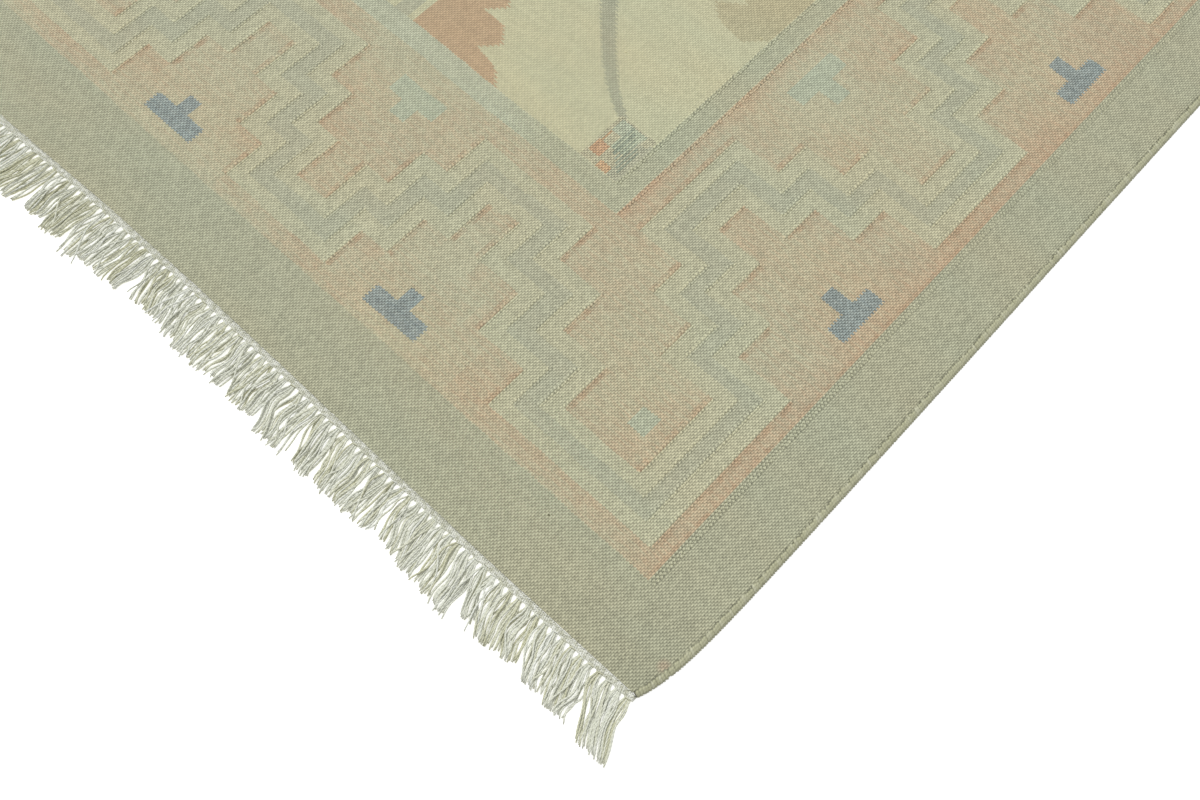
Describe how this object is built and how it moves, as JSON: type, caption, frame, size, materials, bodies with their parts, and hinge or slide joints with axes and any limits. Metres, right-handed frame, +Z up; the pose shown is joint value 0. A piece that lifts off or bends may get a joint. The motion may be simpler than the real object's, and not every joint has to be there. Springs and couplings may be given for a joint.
{
  "type": "kilim rug",
  "caption": "Flat-woven rectangular rug lying flat, with overcast long sides and a knotted cotton fringe across each end.",
  "frame": {"origin": "middle of the rug's underside, on the floor", "axes": "+Y along the rug's length and warps, +X along its fringed ends, +Z up out of the face"},
  "size_m": [1.7152, 2.8072, 0.0042],
  "materials": {
    "kilim_wool": "dull weft-faced wool tapestry in faded pastels",
    "overcast_wool": "dull overcast wool yarn",
    "white_cotton": "soft twisted cotton yarn"
  },
  "bodies": {
    "root": {"rug_cloth": "kilim_wool", "selvedge_left": "overcast_wool", "selvedge_right": "overcast_wool", "fringe_near": "white_cotton", "fringe_far": "white_cotton"}
  },
  "joints": []
}
